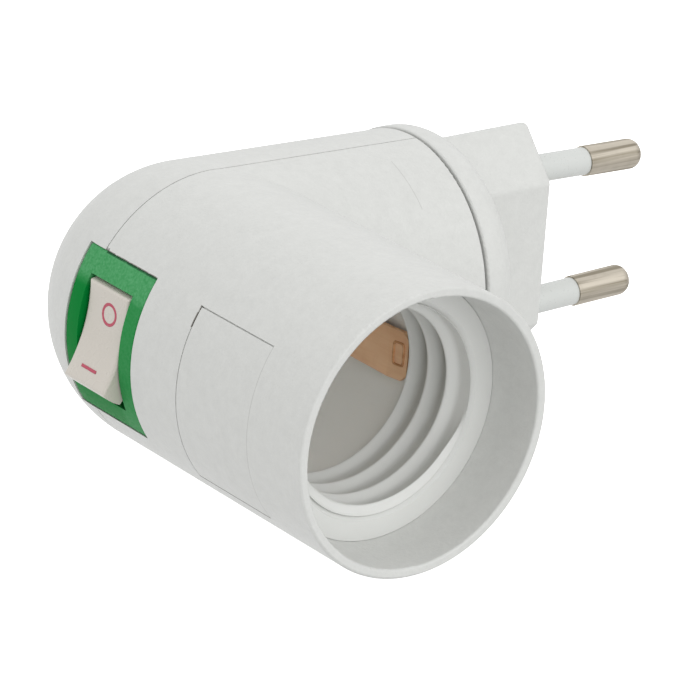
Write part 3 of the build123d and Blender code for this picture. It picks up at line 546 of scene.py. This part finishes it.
# Soft PVC insulation of the leads: a dull skin with a faint waxy drift
pvcBrown = {"colour": "#5a3420", "shade": "#4c2b1a", "fleck": "#6b4630", "cloudMm": 2.5, "grainMm": 0.3,
            "grainDepthMm": 0.006, "fleckMm": 0.5, "fleckFrom": 0.75, "roughness": 0.48, "ior": 1.53}
brownMaterial = mouldedFinish("softPvcBrown", pvcBrown)[0]
pvcBlue = {**pvcBrown, "colour": "#2a5aa0", "shade": "#234c8a", "fleck": "#3f6fb4"}
blueMaterial = mouldedFinish("softPvcBlue", pvcBlue)[0]
dress(brownMaterial, ["lead_line", "lead_load"], [lineLead])
dress(blueMaterial, ["lead_neutral"], [neutralLead])
# Pad-printed ink: flat and slightly uneven over the gloss of the rocker
redInk = {"colour": "#c4566a", "shade": "#b9475d", "fleck": "#d08a94", "cloudMm": 0.8, "grainMm": 0.2,
          "grainDepthMm": 0.004, "fleckMm": 0.3, "fleckFrom": 0.68, "roughness": 0.5, "ior": 1.5}
inkMaterial = mouldedFinish("padPrintedRed", redInk)[0]
dress(inkMaterial, [], [ringPiece, barPiece])
print("plastics on")


# Finishes of the metal pieces: streaks are the lines of drawing, rolling or turning, long along one axis, and
# stains a dull bloom over them
metal = {"streakDetail": 3.0, "stainDetail": 2.0, "stainFrom": 0.5, "stainFull": 0.75, "rougher": 0.08,
         "smoother": 0.06}


def drawnFinish(name, look):
    material, tree, shader, place = startMaterial(name)
    stretch = addNode(tree, "ShaderNodeMapping",
                      {"Vector": place, "Scale": tuple(size * mm for size in look["streakMm"])},
                      vector_type="TEXTURE")
    streak = addNode(tree, "ShaderNodeTexNoise",
                     {"Vector": stretch.outputs["Vector"], "Scale": 1.0, "Detail": metal["streakDetail"]})
    stain = addNode(tree, "ShaderNodeTexNoise",
                    {"Vector": place, "Scale": 1 / (look["stainMm"] * mm), "Detail": metal["stainDetail"]})
    line = addNode(tree, "ShaderNodeMapRange",
                   {"Value": streak.outputs["Fac"], "From Min": look["lineFrom"], "From Max": look["lineTo"]})
    dull = addNode(tree, "ShaderNodeMapRange",
                   {"Value": stain.outputs["Fac"], "From Min": metal["stainFrom"],
                    "From Max": metal["stainFull"], "To Max": look["stainShare"]})
    tone = addNode(tree, "ShaderNodeMix",
                   {"Factor": line.outputs["Result"], mixUnder: linear(look["dark"]),
                    mixOver: linear(look["bright"])}, data_type="RGBA")
    stained = addNode(tree, "ShaderNodeMix",
                      {"Factor": dull.outputs["Result"], mixUnder: tone.outputs[mixResult],
                       mixOver: linear(look["stain"])}, data_type="RGBA")
    rough = addNode(tree, "ShaderNodeMapRange",
                    {"Value": streak.outputs["Fac"], "From Min": noiseLow, "From Max": noiseHigh,
                     "To Min": look["roughness"] + metal["rougher"],
                     "To Max": look["roughness"] - metal["smoother"]})
    bump = addNode(tree, "ShaderNodeBump",
                   {"Height": streak.outputs["Fac"], "Strength": 1.0, "Distance": look["streakDepthMm"] * mm})
    tree.links.new(stained.outputs[mixResult], shader.inputs["Base Color"])
    tree.links.new(rough.outputs["Result"], shader.inputs["Roughness"])
    tree.links.new(bump.outputs["Normal"], shader.inputs["Normal"])
    shader.inputs["Metallic"].default_value = 1.0
    return material


# Nickel-plated brass pins: a warm grey satin, with darker drawing lines along the pin
nickelPin = {"bright": "#cdc5b7", "dark": "#9c9484", "stain": "#8a8172", "streakMm": (60.0, 0.7, 0.7),
             "lineFrom": 0.38, "lineTo": 0.52, "stainMm": 2.4, "stainShare": 0.2, "roughness": 0.47,
             "streakDepthMm": 0.003}
dress(drawnFinish("drawnNickelPlate", nickelPin), ["pin_upper", "pin_lower", "side_rivet", "centre_rivet"])
# Phosphor bronze strip, rolled: a pink brown satin with lines along the strip and a tarnish bloom
bronzeStrip = {"bright": "#f6cfac", "dark": "#f2c9a5", "stain": "#dcac86", "streakMm": (0.5, 7.0, 0.5),
               "lineFrom": 0.35, "lineTo": 0.65, "stainMm": 3.4, "stainShare": 0.25, "roughness": 0.42,
               "streakDepthMm": 0.0008}
dress(drawnFinish("rolledPhosphorBronze", bronzeStrip), ["side_contact", "centre_contact", "contact_lever"])
# The same bronze, browned where the stamping tool bruised it
bruisedBronze = {**bronzeStrip, "bright": "#dbab83", "dark": "#c99871", "stain": "#b4845c"}
dress(drawnFinish("stampedPhosphorBronze", bruisedBronze), [], [stampPiece])
# Stamped brass terminals and plunger: yellow, with brighter lines and a dull bloom between
brassTab = {"bright": "#d9bd76", "dark": "#b3954f", "stain": "#7e6530", "streakMm": (5.0, 0.4, 0.4),
            "lineFrom": 0.35, "lineTo": 0.65, "stainMm": 2.0, "stainShare": 0.4, "roughness": 0.34,
            "streakDepthMm": 0.006}
dress(drawnFinish("stampedBrass", brassTab), ["terminal_common", "terminal_contact", "plunger"])
# Drawn spring wire: blue grey steel with an oil sheen
springWire = {"bright": "#a9acb2", "dark": "#7d8087", "stain": "#5a5448", "streakMm": (0.4, 0.4, 0.4),
              "lineFrom": 0.35, "lineTo": 0.65, "stainMm": 1.2, "stainShare": 0.3, "roughness": 0.26,
              "streakDepthMm": 0.004}
dress(drawnFinish("drawnSpringSteel", springWire), ["plunger_spring"])
# Zinc-plated screws: pale grey with a turned face
zincScrew = {"bright": "#c6c8c8", "dark": "#9da0a2", "stain": "#83817a", "streakMm": (1.2, 0.5, 0.25),
             "lineFrom": 0.35, "lineTo": 0.65, "stainMm": 1.6, "stainShare": 0.35, "roughness": 0.32,
             "streakDepthMm": 0.008}
dress(drawnFinish("zincPlatedSteel", zincScrew), ["shell_screw_upper", "shell_screw_lower"])
print("metals on")
